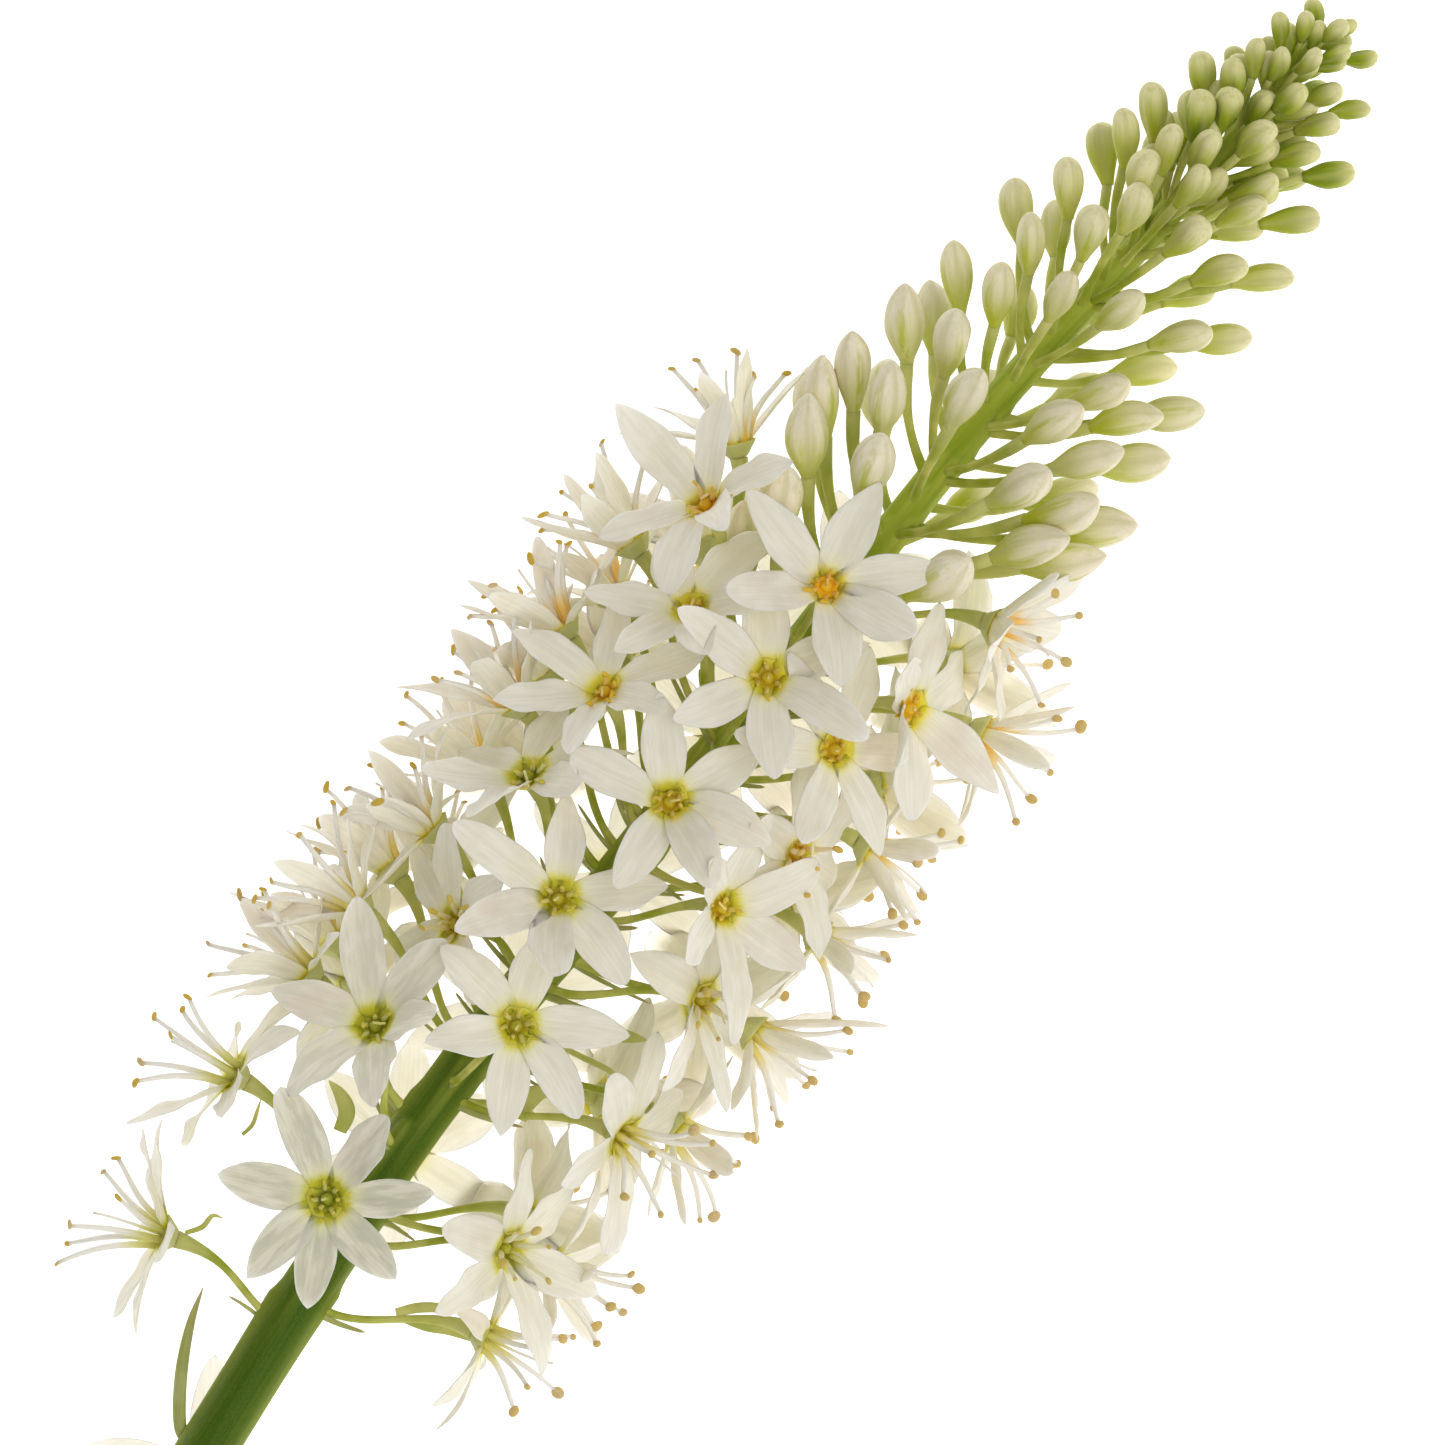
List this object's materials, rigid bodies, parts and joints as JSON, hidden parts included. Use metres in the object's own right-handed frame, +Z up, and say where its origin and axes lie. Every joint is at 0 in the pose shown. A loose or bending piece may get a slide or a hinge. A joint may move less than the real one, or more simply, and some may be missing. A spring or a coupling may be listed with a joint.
{
  "type": "foxtail lily flower spike",
  "caption": "Cut foxtail lily flower spike lying down: a bowed green stem with open white star-shaped flowers on stalks round its lower part and pale buds tapering to the tip.",
  "frame": {"origin": "middle of the object's length and width, on the surface that the cut flower lies on", "axes": "+X from the cut end of the stem towards the tip of the spike, +Y to the left of that way, +Z up from the surface"},
  "size_m": [0.3011, 0.0894, 0.0711],
  "materials": {
    "stem": "satin fresh green skin, paler on the buds",
    "petals": "soft matt white petals"
  },
  "bodies": {
    "root": {"stem": "stem", "bloom_01": "petals", "bloom_02": "petals", "bloom_03": "petals", "bloom_04": "petals", "bloom_05": "petals", "bloom_06": "petals", "bloom_07": "petals", "bloom_08": "petals", "bloom_09": "petals", "bloom_10": "petals", "bloom_11": "petals", "bloom_12": "petals", "bloom_13": "petals", "bloom_14": "petals", "bloom_15": "petals", "bloom_16": "petals", "bloom_17": "petals", "bloom_18": "petals", "bloom_19": "petals", "bloom_20": "petals", "bloom_21": "petals", "bloom_22": "petals", "bloom_23": "petals", "bloom_24": "petals", "bloom_25": "petals", "bloom_26": "petals", "bloom_27": "petals", "bloom_28": "petals", "bloom_29": "petals", "bloom_30": "petals", "bloom_31": "petals", "bloom_32": "petals", "bloom_33": "petals", "bloom_34": "petals", "bloom_35": "petals", "bloom_36": "petals", "bloom_37": "petals", "bloom_38": "petals", "bloom_39": "petals", "bloom_40": "petals", "bloom_41": "petals", "bloom_42": "petals", "bloom_43": "petals", "bloom_44": "petals", "bloom_45": "petals", "bloom_46": "petals", "bloom_47": "petals", "bloom_48": "petals", "bloom_49": "petals", "bloom_50": "petals", "bloom_51": "petals", "bloom_52": "petals", "bloom_53": "petals", "bloom_54": "petals", "bloom_55": "petals", "bloom_56": "petals", "bloom_57": "petals", "bloom_58": "petals"}
  },
  "joints": []
}
